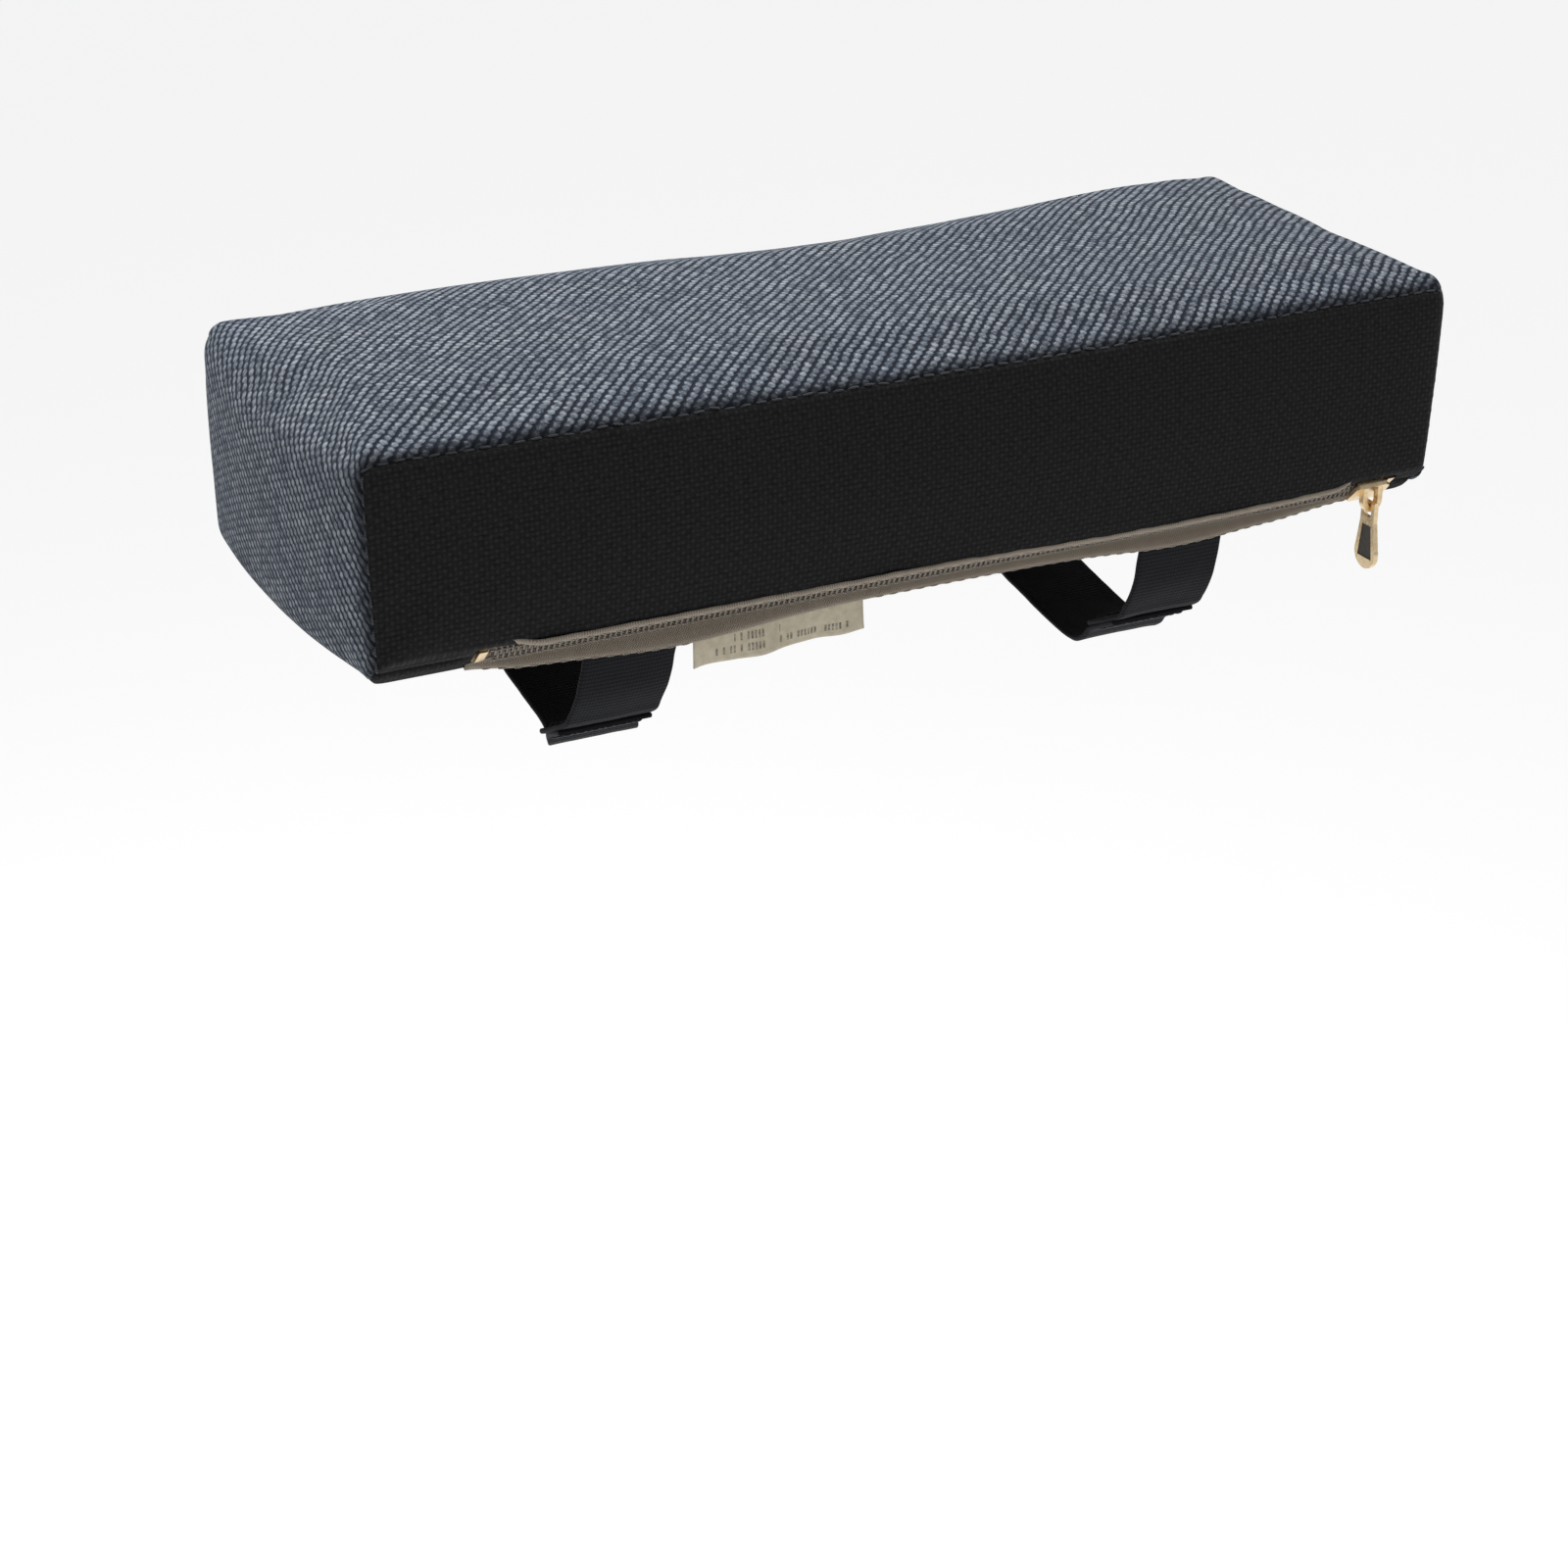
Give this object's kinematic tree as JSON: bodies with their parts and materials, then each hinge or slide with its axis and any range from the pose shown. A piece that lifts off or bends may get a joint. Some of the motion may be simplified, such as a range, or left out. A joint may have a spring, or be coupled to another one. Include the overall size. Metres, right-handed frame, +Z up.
{
  "type": "chair armrest pad",
  "caption": "Long foam armrest cushion in a zipped cloth cover, with elastic strap loops underneath that hold it on a chair's arm.",
  "frame": {"origin": "centre of the pad's flat underside, on the face that rests on the chair's arm", "axes": "+X along the pad's length towards the closed end of the zipper, -Y towards the zipped long side, +Z up, out of the underside through the pad"},
  "size_m": [0.25, 0.0941, 0.0842],
  "materials": {
    "foam": "open-cell cushion foam",
    "tweed": "heathered diagonal weave",
    "dark_cloth": "plain weave, near black",
    "thread": "spun sewing thread",
    "zipper_tape": "woven tape",
    "zipper_coil": "nylon coil",
    "pale_gold": "pale gold plated",
    "inlay": "dark brown-grey",
    "label": "printed satin tape",
    "elastic": "ribbed woven elastic"
  },
  "bodies": {
    "cushion": {"foam_core": "foam", "cover_top_panel": "tweed", "cover_front_panel": "dark_cloth", "cover_rear_panel": "dark_cloth", "cover_bottom_panel": "dark_cloth", "seam_thread_front": "thread", "seam_thread_rear": "thread", "zipper_tape_upper": "zipper_tape", "zipper_tape_lower": "zipper_tape", "zipper_coil_upper": "zipper_coil", "zipper_coil_lower": "zipper_coil", "zipper_top_stops": "pale_gold", "zipper_bottom_stop": "pale_gold", "strap_left_front_tail": "elastic", "strap_left_rear_leg": "elastic", "strap_right_front_tail": "elastic", "strap_right_rear_leg": "elastic"},
    "slider": {"zipper_slider": "pale_gold"},
    "pull": {"zipper_pull_tab": "pale_gold", "zipper_pull_inlay": "inlay"},
    "label": {"care_label": "label"},
    "strap_left": {"strap_left_overlap_tab": "elastic", "strap_left_band": "elastic", "strap_left_stitching": "thread"},
    "strap_right": {"strap_right_overlap_tab": "elastic", "strap_right_band": "elastic", "strap_right_stitching": "thread"}
  },
  "joints": [
    {"name": "zipper_slide", "type": "slide", "parent": "cushion", "child": "slider", "axis": [1, 0, 0], "range_m": [-0.2025, 0]},
    {"name": "pull_swing", "type": "hinge", "parent": "slider", "child": "pull", "pos_m": [0.1081, -0.0445, 0.0005], "axis": [0, 1, 0], "range_deg": [-72, 72]},
    {"name": "label_flap", "type": "hinge", "parent": "cushion", "child": "label", "pos_m": [-0.034, -0.03935, -0.0004], "axis": [1, 0, 0], "range_deg": [-75, 75]},
    {"name": "strap_left_stretch", "type": "slide", "parent": "cushion", "child": "strap_left", "axis": [0, 0, -1], "range_m": [0, 0.03], "stiffness_N_per_m": 150, "deforming": ["strap_left_front_tail", "strap_left_rear_leg"]},
    {"name": "strap_right_stretch", "type": "slide", "parent": "cushion", "child": "strap_right", "axis": [0, 0, -1], "range_m": [0, 0.03], "stiffness_N_per_m": 150, "deforming": ["strap_right_front_tail", "strap_right_rear_leg"]}
  ]
}
